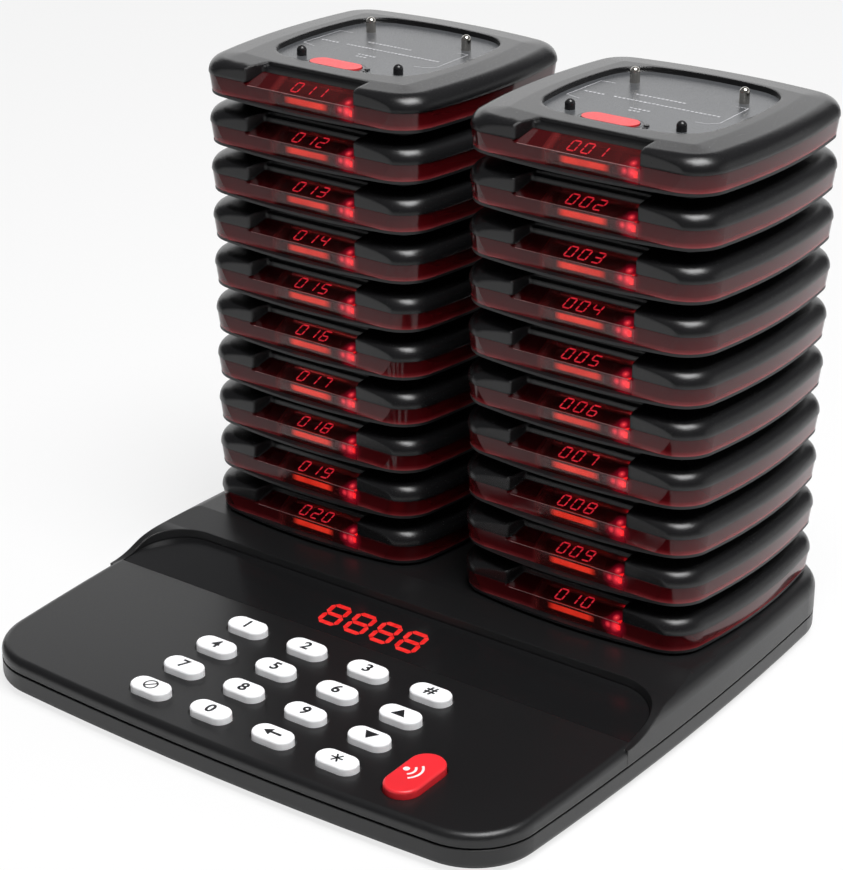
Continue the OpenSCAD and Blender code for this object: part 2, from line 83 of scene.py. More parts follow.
def flatShapes(name, plate, outlines, low, high, material):
    # closed prisms over each outline, from low to high above the plate
    points, faces = [], []
    for outline in outlines:
        first, count = len(points), len(outline)
        points += [plate.at(x, y, low) for x, y in outline]
        points += [plate.at(x, y, high) for x, y in outline]
        faces.append([first + i for i in reversed(range(count))])
        faces.append([first + count + i for i in range(count)])
        for i in range(count):
            j = (i + 1) % count
            faces.append([first + i, first + j, first + count + j, first + count + i])
    return meshFrom(name, points, faces, material)


# the range that a noise node mostly stays in, and what the finishes share
noiseLow, noiseHigh = 0.3, 0.7
plasticLook = {"driftDetail": 2.0, "grainDetail": 4.0, "grainHeight": 0.0001, "ior": 1.48,
               "scatter": (0.004, 0.003, 0.003)}
metalLook = {"streakScale": 900, "streakDetail": 2.0, "stretch": (1, 1, 0.2), "dark": 0.8,
             "smoothest": 0.7, "roughest": 1.4}
litLook = {"cloudDetail": 1.0, "from": 0.35, "to": 0.65, "roughness": 0.4}


def newMaterial(name):
    material = bpy.data.materials.new(name)
    material.use_nodes = True
    nodes, links = material.node_tree.nodes, material.node_tree.links
    shader = nodes["Principled BSDF"]
    return material, nodes, links, shader


def noiseNode(nodes, links, scale, detail=3.0, stretch=None):
    place = nodes.new("ShaderNodeTexCoord")
    noise = nodes.new("ShaderNodeTexNoise")
    noise.inputs["Scale"].default_value = scale
    noise.inputs["Detail"].default_value = detail
    if stretch:
        mapping = nodes.new("ShaderNodeMapping")
        mapping.inputs["Scale"].default_value = stretch
        links.new(place.outputs["Object"], mapping.inputs["Vector"])
        links.new(mapping.outputs["Vector"], noise.inputs["Vector"])
    else:
        links.new(place.outputs["Object"], noise.inputs["Vector"])
    return noise


def rampNode(nodes, links, source, stops):
    ramp = nodes.new("ShaderNodeValToRGB")
    ramp.color_ramp.elements[0].position = stops[0][0]
    ramp.color_ramp.elements[0].color = (*stops[0][1], 1)
    ramp.color_ramp.elements[1].position = stops[-1][0]
    ramp.color_ramp.elements[1].color = (*stops[-1][1], 1)
    for position, colour in stops[1:-1]:
        ramp.color_ramp.elements.new(position).color = (*colour, 1)
    links.new(source, ramp.inputs["Fac"])
    return ramp


def mapNode(nodes, links, source, taken, given):
    spread = nodes.new("ShaderNodeMapRange")
    spread.inputs["From Min"].default_value, spread.inputs["From Max"].default_value = taken
    spread.inputs["To Min"].default_value, spread.inputs["To Max"].default_value = given
    links.new(source, spread.inputs["Value"])
    return spread


def softEdges(nodes, links, radius, socket):
    # rounds the shading over sharp edges, radius in millimetres
    worn = nodes.new("ShaderNodeBevel")
    worn.samples = 4
    worn.inputs["Radius"].default_value = radius * mm
    links.new(worn.outputs["Normal"], socket)


def mouldedPlastic(name, look):
    # fine grain in the normal, broad drift in colour and gloss, and where "lift" is given, a painted
    # glow of the colour itself
    material, nodes, links, shader = newMaterial(name)
    drift = noiseNode(nodes, links, look["driftScale"], plasticLook["driftDetail"])
    low = [c * (1 - look["drift"]) for c in look["colour"]]
    high = [min(1.0, c * (1 + look["drift"])) for c in look["colour"]]
    tone = rampNode(nodes, links, drift.outputs["Fac"], [(noiseLow, low), (noiseHigh, high)])
    links.new(tone.outputs["Color"], shader.inputs["Base Color"])
    grain = noiseNode(nodes, links, look["grainScale"], plasticLook["grainDetail"])
    gloss = mapNode(nodes, links, grain.outputs["Fac"], (noiseLow, noiseHigh),
                    (look["roughness"] - look["glossSpread"], look["roughness"] + look["glossSpread"]))
    links.new(gloss.outputs["Result"], shader.inputs["Roughness"])
    bump = nodes.new("ShaderNodeBump")
    bump.inputs["Strength"].default_value = look["grainDepth"]
    bump.inputs["Distance"].default_value = plasticLook["grainHeight"]
    links.new(grain.outputs["Fac"], bump.inputs["Height"])
    links.new(bump.outputs["Normal"], shader.inputs["Normal"])
    if "edge" in look:
        softEdges(nodes, links, look["edge"], bump.inputs["Normal"])
    shader.inputs["IOR"].default_value = look.get("ior", plasticLook["ior"])
    # painted light: the colour itself is given off as a faint glow, so the piece looks brighter than
    # the lamps make it
    if "lift" in look:
        links.new(tone.outputs["Color"], shader.inputs["Emission Color"])
        shader.inputs["Emission Strength"].default_value = look["lift"]
    if "subsurface" in look:
        shader.inputs["Subsurface Weight"].default_value = look["subsurface"]
        shader.inputs["Subsurface Radius"].default_value = plasticLook["scatter"]
    return material


def platedMetal(name, colour, roughness):
    # turned or plated metal, with streaks along its length
    look = metalLook
    material, nodes, links, shader = newMaterial(name)
    streaks = noiseNode(nodes, links, look["streakScale"], look["streakDetail"], look["stretch"])
    gloss = mapNode(nodes, links, streaks.outputs["Fac"], (0.0, 1.0),
                    (roughness * look["smoothest"], roughness * look["roughest"]))
    links.new(gloss.outputs["Result"], shader.inputs["Roughness"])
    dark = [c * look["dark"] for c in colour]
    tone = rampNode(nodes, links, streaks.outputs["Fac"], [(noiseLow, dark), (noiseHigh, colour)])
    links.new(tone.outputs["Color"], shader.inputs["Base Color"])
    shader.inputs["Metallic"].default_value = 1.0
    return material


def litPlastic(name, look):
    # glowing segments and bars, cloudy between a deeper and a brighter colour
    material, nodes, links, shader = newMaterial(name)
    cells = noiseNode(nodes, links, look["scale"], litLook["cloudDetail"])
    glow = rampNode(nodes, links, cells.outputs["Fac"],
                    [(litLook["from"], look["deep"]), (litLook["to"], look["bright"])])
    links.new(glow.outputs["Color"], shader.inputs["Emission Color"])
    shader.inputs["Emission Strength"].default_value = look["strength"]
    shader.inputs["Base Color"].default_value = (*look["base"], 1)
    shader.inputs["Roughness"].default_value = litLook["roughness"]
    return material


def pagerCoordinates(nodes, links, look):
    # the place on a pager in millimetres, from the middle of its underside, alike for all twenty
    place = nodes.new("ShaderNodeTexCoord")
    split = nodes.new("ShaderNodeSeparateXYZ")
    links.new(place.outputs["Object"], split.inputs["Vector"])

    def maths(operation, first, second=None, third=None):
        node = nodes.new("ShaderNodeMath")
        node.operation = operation
        for slot, value in enumerate((first, second, third)):
            if value is None:
                continue
            if isinstance(value, (int, float)):
                node.inputs[slot].default_value = value
            else:
                links.new(value, node.inputs[slot])
        return node.outputs[0]

    side = maths("SIGN", split.outputs["X"])
    x = maths("MULTIPLY", maths("SUBTRACT", split.outputs["X"],
                                maths("MULTIPLY", side, look["stackX"])), 1 / mm)
    y = maths("MULTIPLY", maths("SUBTRACT", split.outputs["Y"], look["stackY"]), 1 / mm)
    above = maths("SUBTRACT", split.outputs["Z"], look["dockZ"])
    z = maths("MULTIPLY", maths("FLOORED_MODULO", above, look["pitch"]), 1 / mm)
    return x, y, z, maths


def softBar(name, look, stack):
    # a glowing strip that fades towards its ends and edges
    material, nodes, links, shader = newMaterial(name)
    x, y, z, maths = pagerCoordinates(nodes, links, stack)
    fade = None
    for place, middle, half, soft in zip((x, z), look["middle"], look["half"], look["soft"]):
        off = maths("ABSOLUTE", maths("SUBTRACT", place, middle))
        ramp = maths("DIVIDE", maths("SUBTRACT", half, off), soft)
        share = maths("MINIMUM", maths("MAXIMUM", ramp, 0.0), 1.0)
        fade = share if fade is None else maths("MULTIPLY", fade, share)
    shader.inputs["Emission Color"].default_value = (*look["colour"], 1)
    links.new(maths("MULTIPLY", fade, look["strength"]), shader.inputs["Emission Strength"])
    cloud = noiseNode(nodes, links, look["scale"], litLook["cloudDetail"])
    base = rampNode(nodes, links, cloud.outputs["Fac"],
                    [(noiseLow, look["deepBase"]), (noiseHigh, look["base"])])
    links.new(base.outputs["Color"], shader.inputs["Base Color"])
    shader.inputs["Roughness"].default_value = litLook["roughness"]
    return material


def redLens(name, look, stack):
    # red moulding, clear before the display and duller round the rest, with the signal light's glow;
    # round the band a painted highlight lightens its lower edge over its own dark red
    material, nodes, links, shader = newMaterial(name)
    x, y, z, maths = pagerCoordinates(nodes, links, stack)
    away = None
    for (sx, sy, sz), weight in look["glows"]:
        dx, dy, dz = maths("SUBTRACT", x, sx), maths("SUBTRACT", y, sy), maths("SUBTRACT", z, sz)
        squares = maths("ADD", maths("MULTIPLY", dx, dx),
                        maths("ADD", maths("MULTIPLY", dy, dy), maths("MULTIPLY", dz, dz)))
        reach = maths("MULTIPLY", maths("SQRT", squares), weight)
        away = reach if away is None else maths("MINIMUM", away, reach)
    glow = rampNode(nodes, links, maths("DIVIDE", away, look["glowReach"]), look["glowStops"])
    links.new(glow.outputs["Color"], shader.inputs["Emission Color"])
    shader.inputs["Emission Strength"].default_value = look["glowStrength"]
    haze = noiseNode(nodes, links, look["hazeScale"])
    tint = rampNode(nodes, links, haze.outputs["Fac"],
                    [(noiseLow, look["deep"]), (noiseHigh, look["clear"])])
    # painted highlight: the band is lightest at its foot and darkens upwards into its own dark red
    rise = maths("ADD", maths("DIVIDE", maths("SUBTRACT", z, look["foot"]), look["tall"]),
                 maths("MULTIPLY", maths("SUBTRACT", haze.outputs["Fac"], 0.5), look["hazeShift"]))
    band = rampNode(nodes, links, rise, look["bandHighlightStops"])
    fromLeft = maths("DIVIDE", maths("SUBTRACT", x, look["clearLeft"]), look["clearFade"])
    beside = maths("MULTIPLY", maths("MINIMUM", maths("MAXIMUM", fromLeft, 0.0), 1.0),
                   maths("LESS_THAN", x, look["clearRight"]))
    inNotch = maths("MULTIPLY", beside, maths("LESS_THAN", y, look["clearBack"]))
    blend = nodes.new("ShaderNodeMix")
    blend.data_type = "RGBA"
    links.new(inNotch, blend.inputs["Factor"])
    links.new(band.outputs["Color"], blend.inputs["A"])
    links.new(tint.outputs["Color"], blend.inputs["B"])
    links.new(blend.outputs["Result"], shader.inputs["Base Color"])
    clear = maths("ADD", maths("MULTIPLY", inNotch, look["transmission"] - look["bandTransmission"]),
                  look["bandTransmission"])
    links.new(clear, shader.inputs["Transmission Weight"])
    shader.inputs["Specular IOR Level"].default_value = look["specular"]
    softEdges(nodes, links, look["edge"], shader.inputs["Normal"])
    shader.inputs["IOR"].default_value = look["ior"]
    fine = noiseNode(nodes, links, look["fineScale"], look["fineDetail"])
    gloss = mapNode(nodes, links, fine.outputs["Fac"], (0.0, 1.0), look["roughness"])
    links.new(gloss.outputs["Result"], shader.inputs["Roughness"])
    return material


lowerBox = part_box(pagerName(1, stackSize))
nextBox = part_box(pagerName(1, stackSize - 1))
stack = {
    "stackX": (lowerBox[0].x + lowerBox[1].x) / 2,
    "stackY": lowerBox[1].y - (lowerBox[1].x - lowerBox[0].x) / 2,
    "dockZ": lowerBox[0].z,
    "pitch": nextBox[0].z - lowerBox[0].z,
}

basePlastic = mouldedPlastic("basePlastic", {
    "colour": (0.009, 0.009, 0.0095), "drift": 0.12, "driftScale": 12, "roughness": 0.34,
    "glossSpread": 0.04, "grainScale": 1800, "grainDepth": 0.12, "edge": 0.6})
pagerPlastic = mouldedPlastic("pagerPlastic", {
    "colour": (0.007, 0.007, 0.0075), "drift": 0.12, "driftScale": 20, "roughness": 0.26,
    "glossSpread": 0.015, "grainScale": 2200, "grainDepth": 0.012, "edge": 1.4})
recessPlastic = mouldedPlastic("recessPlastic", {
    "colour": (0.075, 0.078, 0.083), "drift": 0.08, "driftScale": 30, "roughness": 0.3,
    "glossSpread": 0.04, "grainScale": 2600, "grainDepth": 0.15})
coverPlastic = mouldedPlastic("coverPlastic", {
    "colour": (0.008, 0.008, 0.009), "drift": 0.15, "driftScale": 20, "roughness": 0.45,
    "glossSpread": 0.05, "grainScale": 1800, "grainDepth": 0.25})
# the white keys carry a painted glow ("lift"), making them brighter than the lamps light them
whiteKeyPlastic = mouldedPlastic("whiteKeyPlastic", {
    "colour": (0.93, 0.93, 0.94), "drift": 0.02, "driftScale": 40, "roughness": 0.32,
    "glossSpread": 0.04, "grainScale": 1500, "grainDepth": 0.08, "subsurface": 0.05, "lift": 0.14})
redKeyPlastic = mouldedPlastic("redKeyPlastic", {
    "colour": (0.86, 0.03, 0.04), "drift": 0.05, "driftScale": 40, "roughness": 0.32,
    "glossSpread": 0.04, "grainScale": 1500, "grainDepth": 0.08, "subsurface": 0.05})
redButtonPlastic = mouldedPlastic("redButtonPlastic", {
    "colour": (0.72, 0.04, 0.045), "drift": 0.06, "driftScale": 60, "roughness": 0.35,
    "glossSpread": 0.04, "grainScale": 1500, "grainDepth": 0.08, "subsurface": 0.05})
smokedWindow = mouldedPlastic("smokedWindow", {
    "colour": (0.009, 0.009, 0.0095), "drift": 0.1, "driftScale": 10, "roughness": 0.16,
    "glossSpread": 0.02, "grainScale": 900, "grainDepth": 0.02, "ior": 1.42})
blackResin = mouldedPlastic("blackResin", {
    "colour": (0.012, 0.012, 0.013), "drift": 0.1, "driftScale": 80, "roughness": 0.28,
    "glossSpread": 0.05, "grainScale": 2000, "grainDepth": 0.1})
footRubber = mouldedPlastic("footRubber", {
    "colour": (0.02, 0.02, 0.02), "drift": 0.2, "driftScale": 60, "roughness": 0.8,
    "glossSpread": 0.08, "grainScale": 1200, "grainDepth": 0.6})
boardLaminate = mouldedPlastic("boardLaminate", {
    "colour": (0.01, 0.09, 0.035), "drift": 0.2, "driftScale": 90, "roughness": 0.35,
    "glossSpread": 0.06, "grainScale": 1600, "grainDepth": 0.2})
displayBoard = mouldedPlastic("displayBoard", {
    "colour": (0.02, 0.004, 0.004), "drift": 0.3, "driftScale": 90, "roughness": 0.4,
    "glossSpread": 0.06, "grainScale": 1600, "grainDepth": 0.2})
switchResin = mouldedPlastic("switchResin", {
    "colour": (0.4, 0.4, 0.42), "drift": 0.1, "driftScale": 200, "roughness": 0.45,
    "glossSpread": 0.06, "grainScale": 1600, "grainDepth": 0.2})
legendInk = mouldedPlastic("legendInk", {
    "colour": (0.01, 0.01, 0.012), "drift": 0.2, "driftScale": 300, "roughness": 0.5,
    "glossSpread": 0.05, "grainScale": 2500, "grainDepth": 0.2})
whiteInk = mouldedPlastic("whiteInk", {
    "colour": (0.85, 0.8, 0.8), "drift": 0.04, "driftScale": 300, "roughness": 0.45,
    "glossSpread": 0.05, "grainScale": 2500, "grainDepth": 0.2})
greyInk = mouldedPlastic("greyInk", {
    "colour": (0.5, 0.5, 0.52), "drift": 0.2, "driftScale": 500, "roughness": 0.5,
    "glossSpread": 0.05, "grainScale": 2500, "grainDepth": 0.2})
# the colour of the painted highlight on the lens's edge
lensEdgeHighlight = mouldedPlastic("lensEdgeHighlight", {
    "colour": (0.24, 0.12, 0.12), "drift": 0.2, "driftScale": 200, "roughness": 0.25,
    "glossSpread": 0.05, "grainScale": 2500, "grainDepth": 0.1})
pinPlating = platedMetal("pinPlating", (0.72, 0.69, 0.63), 0.16)
screwSteel = platedMetal("screwSteel", (0.45, 0.45, 0.46), 0.35)
stripSegments = litPlastic("stripSegments", {
    "deep": (0.65, 0.012, 0.012), "bright": (0.85, 0.04, 0.035), "base": (0.2, 0.0, 0.0),
    "strength": 0.9, "scale": 500})
pagerSegments = litPlastic("pagerSegments", {
    "deep": (0.5, 0.008, 0.02), "bright": (0.8, 0.03, 0.05), "base": (0.1, 0.0, 0.0),
    "strength": 0.75, "scale": 900})
lightBar = softBar("lightBar", {
    "middle": (1.3, 7.9), "half": (9.4, 1.3), "soft": (2.6, 0.5),
    "colour": (1.0, 0.42, 0.2), "base": (0.08, 0.01, 0.005), "deepBase": (0.02, 0.0, 0.0),
    "strength": 2.1, "scale": 600}, stack)
signalLight = litPlastic("signalLight", {
    "deep": (1.0, 0.08, 0.06), "bright": (1.0, 0.3, 0.2), "base": (0.5, 0.05, 0.0),
    "strength": 2.6, "scale": 900})
lensPlastic = redLens("lensPlastic", {
    "glows": [((19.4, -45.6, 8.6), 1.0), ((16.7, -46.6, 8.7), 1.6), ((19.0, -44.6, 11.0), 1.5)],
    "glowReach": 4.8, "glowStrength": 0.85,
    "glowStops": [(0.0, (1.0, 0.22, 0.16)), (0.15, (0.75, 0.03, 0.05)),
                  (0.45, (0.12, 0.001, 0.008)), (1.0, (0.0, 0.0, 0.0))],
    "deep": (0.3, 0.025, 0.025), "clear": (0.45, 0.05, 0.05),
    "foot": stack["pitch"] / mm - 12.1, "tall": 6.0,
    # the band's own dark red, with a painted highlight at its foot
    "bandHighlightStops": [(0.0, (0.34, 0.06, 0.065)), (0.12, (0.2, 0.014, 0.018)),
                  (0.3, (0.085, 0.003, 0.005)), (1.0, (0.05, 0.002, 0.003))],
    "clearLeft": -14.0, "clearFade": 4.0, "clearRight": 22.4, "clearBack": -38.0,
    "specular": 0.28, "edge": 0.35,
    "transmission": 0.9, "bandTransmission": 0.15, "ior": 1.5, "roughness": (0.048, 0.12),
    "hazeScale": 120, "hazeShift": 0.15, "fineScale": 400, "fineDetail": 2.0}, stack)
print("materials made:", len(bpy.data.materials))


def paint(node, material):
    mesh = cad[node].data
    mesh.materials.clear()
    mesh.materials.append(material)


baseFinish = {
    "base_lower_shell": basePlastic,
    "base_upper_shell": basePlastic,
    "display_window": smokedWindow,
    "display_module": displayBoard,
    "circuit_board": boardLaminate,
    "key_switches": switchResin,
    "board_screws": screwSteel,
    "rubber_feet": footRubber,
    "base_screws": screwSteel,
    "dock_charging_pins": pinPlating,
    "dock_locating_pins": blackResin,
    "key_call": redKeyPlastic,
}
for node, material in baseFinish.items():
    paint(node, material)
for row in keyRows:
    for column in range(1, keyColumns + 1):
        paint("key_%s%d" % (row, column), whiteKeyPlastic)

pagerFinish = {
    "shell": pagerPlastic,
    "recess": recessPlastic,
    "lens": lensPlastic,
    "cover": coverPlastic,
    "display": displayBoard,
    "bar": lightBar,
    "signal": signalLight,
    "button": redButtonPlastic,
    "chargingPin": pinPlating,
    "locatingPin": blackResin,
}
pagerSlots = list(pagerFinish)
pagerSizes = {
    "height": stack["pitch"] / mm,
    "recessFloor": stack["pitch"] / mm - 1.8,
    "barFront": -43.0, "barBottom": 6.4, "barReach": 12,
    "signalX": 19.4, "signalReach": 2,
    # widths that tell the solids of a pager apart, and the most that a cover rises
    "housing": 90, "board": 40, "button": 10, "coverFoot": 3,
    # how near a face's direction and height have to be
    "facing": 0.9, "near": 0.05,
}


def solidsOf(mesh):
    # the polygons of each solid, which share corners
    owner = {}
    parent = {}

    def find(key):
        while parent[key] != key:
            parent[key] = parent[parent[key]]
            key = parent[key]
        return key

    keys = [tuple(round(c, 6) for c in v.co) for v in mesh.vertices]
    for key in keys:
        parent[key] = key
    for polygon in mesh.polygons:
        first = find(keys[polygon.vertices[0]])
        for index in polygon.vertices[1:]:
            parent[find(keys[index])] = first
    for polygon in mesh.polygons:
        owner.setdefault(find(keys[polygon.vertices[0]]), []).append(polygon)
    return owner.values()


def solidKind(low, high):
    sizes = pagerSizes
    width = high.x - low.x
    if width > sizes["housing"] and high.z > sizes["height"] - 2 * sizes["near"]:
        return "shell"
    if width > sizes["housing"]:
        return "lens" if low.z > sizes["coverFoot"] else "cover"
    if width > sizes["board"]:
        return "display"
    if width > sizes["button"]:
        return "button"
    return "chargingPin" if (low.y + high.y) / 2 > 0 else "locatingPin"


def facePaint(kind, centre, normal):
    sizes = pagerSizes
    onFloor = abs(centre.z - sizes["recessFloor"]) < sizes["near"]
    if kind == "shell" and normal.z > sizes["facing"] and onFloor:
        return "recess"
    if kind == "display" and centre.z > sizes["barBottom"]:
        if abs(centre.x - sizes["signalX"]) < sizes["signalReach"]:
            return "signal"
        atFront = normal.y < -sizes["facing"] and centre.y < sizes["barFront"]
        if atFront and abs(centre.x) < sizes["barReach"]:
            return "bar"
    return kind


def paintPager(node, origin):
    mesh = cad[node].data
    mesh.materials.clear()
    for slotName in pagerSlots:
        mesh.materials.append(pagerFinish[slotName])
    for polygons in solidsOf(mesh):
        corners = [(mesh.vertices[i].co - origin) / mm for p in polygons for i in p.vertices]
        low = Vector([min(c[k] for c in corners) for k in range(3)])
        high = Vector([max(c[k] for c in corners) for k in range(3)])
        kind = solidKind(low, high)
        for polygon in polygons:
            centre = (polygon.center - origin) / mm
            polygon.material_index = pagerSlots.index(facePaint(kind, centre, polygon.normal))


def pagerOrigin(side, place):
    return Vector((side * stack["stackX"], stack["stackY"],
                   stack["dockZ"] + (stackSize - place) * stack["pitch"]))


topParts = ["top_shell", "lens_body", "bottom_cover", "display", "button",
            "charging_pins", "locating_pins"]
for side in stackSides.values():
    for place in range(1, stackSize + 1):
        name = pagerName(side, place)
        nodes = [name] if place > 1 else [name + "_" + part for part in topParts]
        for node in nodes:
            paintPager(node, pagerOrigin(side, place))
print("pieces painted")


digitSegments = {"0": "abcdef", "1": "bc", "2": "abged", "3": "abgcd", "4": "fgbc", "5": "afgcd",
                 "6": "afgedc", "7": "abc", "8": "abcdefg", "9": "abcdfg"}


def segmentOutline(segment, look):
    # one segment as a bar with pointed ends, leaning with the digit
    w, h, t, gap = look["width"], look["height"], look["stroke"], look["gap"]
    half = h / 2
    ends = {"a": ((0, h), (w, h)), "g": ((0, half), (w, half)), "d": ((0, 0), (w, 0)),
            "f": ((0, half), (0, h)), "b": ((w, half), (w, h)),
            "e": ((0, 0), (0, half)), "c": ((w, 0), (w, half))}
    (x0, y0), (x1, y1) = ends[segment]
    along = Vector((x1 - x0, y1 - y0)).normalized()
    across = Vector((-along.y, along.x)) * t / 2
    start = Vector((x0, y0)) + along * gap
    end = Vector((x1, y1)) - along * gap
    shoulder = along * t / 2
    corners = [start, start + shoulder - across, end - shoulder - across, end,
               end - shoulder + across, start + shoulder + across]
    return [(c.x + look["lean"] * c.y, c.y) for c in corners]


def digitOutlines(text, look):
    left, bottom = look["left"], look["bottom"]
    outlines = []
    for place, digit in enumerate(text):
        for segment in digitSegments[digit]:
            outline = segmentOutline(segment, look)
            across = left + place * look["pitch"]
            outlines.append([(x + across, y + bottom) for x, y in outline])
    return outlines


keyAxis = Vector(next(j for j in frame["joints"] if j["child"] == "key_a1")["axis"])
windowLook = {
    "text": "8888",
    "left": -21.4, "bottom": 5.4,
    "width": 6.9, "height": 10.4, "stroke": 1.8, "gap": 0.15, "lean": -0.05, "pitch": 10.9,
    "low": 0.02, "high": 0.08,
}


def panelPlate(x, y, z):
    return Plate((x, y, z), (1, 0, 0), keyAxis)


def windowPlate():
    # the window's top face, from the middle of its front edge
    mesh = cad["display_window"].data
    up = pagerSizes["facing"]
    top = max((p for p in mesh.polygons if p.normal.z > up), key=lambda p: p.area)
    front = min((mesh.vertices[i].co for i in top.vertices), key=lambda c: c.y)
    return Plate((0, front.y, front.z), (1, 0, 0), top.normal)


stripDigits = flatShapes("strip_digits", windowPlate(), digitOutlines(windowLook["text"], windowLook),
                         windowLook["low"], windowLook["high"], stripSegments)
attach(stripDigits, "base")


def bar(x0, y0, x1, y1, width):
    along = Vector((x1 - x0, y1 - y0)).normalized()
    across = Vector((-along.y, along.x)) * width / 2
    a, b = Vector((x0, y0)), Vector((x1, y1))
    return [[tuple(a - across), tuple(b - across), tuple(b + across), tuple(a + across)]]


# a painted highlight: a thin light strip along the edge between the lens front and its slanted window,
# where that edge catches the light
ridgeHighlightLook = {"left": 23.0, "right": 21.0, "width": 0.24, "low": 0.015, "high": 0.05}
pagerWindow = {
    "frontY": -46.2, "frontZ": 10.35, "backY": -39.85, "backZ": 14.05,
    "left": -5.4, "bottom": 1.5,
    "width": 2.8, "height": 4.3, "stroke": 0.55, "gap": 0.12, "lean": 0.16, "pitch": 5.1,
    "low": 0.02, "high": 0.06,
}


def pagerPlate(side, place):
    origin = pagerOrigin(side, place)
    look = pagerWindow
    slope = Vector((0, look["backY"] - look["frontY"], look["backZ"] - look["frontZ"])).normalized()
    start = origin + Vector((0, look["frontY"], look["frontZ"])) * mm
    return Plate(start, (1, 0, 0), Vector((1, 0, 0)).cross(slope))


for side in stackSides.values():
    for place in range(1, stackSize + 1):
        name = pagerName(side, place)
        text = "%03d" % pagerNumber(side, place)
        digits = flatShapes(name + "_digits", pagerPlate(side, place),
                            digitOutlines(text, pagerWindow),
                            pagerWindow["low"], pagerWindow["high"], pagerSegments)
        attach(digits, name)
        # the painted highlight strip along the lens edge
        ridgeHighlight = flatShapes(name + "_ridge_highlight", pagerPlate(side, place),
                           bar(-ridgeHighlightLook["left"], 0, ridgeHighlightLook["right"], 0, ridgeHighlightLook["width"]),
                           ridgeHighlightLook["low"], ridgeHighlightLook["high"], lensEdgeHighlight)
        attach(ridgeHighlight, name)
print("digits made")


# millimetres; "near" is how close to the top a corner of the key counts as its flat top
legendLook = {"size": 6.2, "bold": 0.16, "rise": 0.02, "thick": 0.04, "near": 0.02, "smooth": 6}


def keyTop(node):
    # the middle of the key's flat top
    points = [v.co for v in cad[node].data.vertices]
    reach = max(p.dot(keyAxis) for p in points)
    top = [p for p in points if p.dot(keyAxis) > reach - legendLook["near"] * mm]
    low = Vector([min(p[k] for p in top) for k in range(3)])
    high = Vector([max(p[k] for p in top) for k in range(3)])
    return panelPlate(*((low + high) / 2))


def textLegend(name, text, plate, material):
    curve = bpy.data.curves.new(name, "FONT")
    curve.body = text
    curve.size = legendLook["size"] * mm
    curve.extrude = legendLook["thick"] * mm / 2
    curve.offset = legendLook["bold"] * mm
    curve.resolution_u = legendLook["smooth"]
    source = bpy.data.objects.new(name, curve)
    bpy.context.scene.collection.objects.link(source)
    bpy.context.view_layer.update()
    graph = bpy.context.evaluated_depsgraph_get()
    mesh = bpy.data.meshes.new_from_object(source.evaluated_get(graph))
    bpy.data.objects.remove(source)
    xs = [v.co.x for v in mesh.vertices]
    ys = [v.co.y for v in mesh.vertices]
    middle = Vector(((min(xs) + max(xs)) / 2, (min(ys) + max(ys)) / 2, 0))
    turn = Matrix((plate.right, plate.up, plate.out)).transposed()
    lift = legendLook["rise"] + legendLook["thick"] / 2
    for vertex in mesh.vertices:
        vertex.co = turn @ (vertex.co - middle) + plate.at(0, 0, lift)
    mesh.materials.clear()
    mesh.materials.append(material)
    piece = bpy.data.objects.new(name, mesh)
    bpy.context.scene.collection.objects.link(piece)
    return piece


def ringBand(radius, width, start=0.0, end=360.0, steps=40, centre=(0, 0)):
    # a band round an arc, as one outline; a full ring is two halves
    if end - start >= 360:
        middle = (start + end) / 2
        return (ringBand(radius, width, start, middle, steps // 2, centre)
                + ringBand(radius, width, middle, end, steps // 2, centre))
    angles = [math.radians(start + (end - start) * i / steps) for i in range(steps + 1)]

    def edge(reach):
        return [(centre[0] + reach * math.cos(a), centre[1] + reach * math.sin(a)) for a in angles]

    return [edge(radius + width / 2) + edge(radius - width / 2)[::-1]]


def disc(radius, steps=32, centre=(0, 0)):
    return [[(centre[0] + radius * math.cos(2 * math.pi * i / steps),
              centre[1] + radius * math.sin(2 * math.pi * i / steps)) for i in range(steps)]]


# the marks on the keys, in millimetres from the middle of a key's top
triangleUp = [[(-2.7, -1.8), (2.7, -1.8), (0, 2.1)]]
triangleDown = [[(-2.7, 1.8), (0, -2.1), (2.7, 1.8)]]
arrowLeft = [[(-3.6, 0), (-0.6, -1.9), (-0.6, 1.9)]] + bar(-0.6, 0, 3.4, 0, 1.0)
slashedRing = ringBand(2.3, 0.6) + bar(-1.4, -1.4, 1.4, 1.4, 0.6)
star = (bar(-2.2, 0, 2.2, 0, 0.65) + bar(-1.1, -1.9, 1.1, 1.9, 0.65)
        + bar(-1.1, 1.9, 1.1, -1.9, 0.65))
callMark = (disc(1.1, centre=(-3.2, 0)) + ringBand(3.0, 0.8, -50, 50, 20, (-3.2, 0))
            + ringBand(5.2, 0.8, -50, 50, 28, (-3.2, 0)))

legends = {
    "a1": "1", "a2": "2", "a3": "3", "a4": "#",
    "b1": "4", "b2": "5", "b3": "6", "b4": triangleUp,
    "c1": "7", "c2": "8", "c3": "9", "c4": triangleDown,
    "d1": slashedRing, "d2": "0", "d3": arrowLeft, "d4": star,
}
for key, mark in legends.items():
    plate = keyTop("key_" + key)
    name = "legend_" + key
    if isinstance(mark, str):
        legend = textLegend(name, mark, plate, legendInk)
    else:
        legend = flatShapes(name, plate, mark, legendLook["rise"],
                            legendLook["rise"] + legendLook["thick"], legendInk)
    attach(legend, "key_" + key)
callLegend = flatShapes("legend_call", keyTop("key_call"), callMark, legendLook["rise"],
                        legendLook["rise"] + legendLook["thick"], whiteInk)
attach(callLegend, "key_call")
print("legends made")


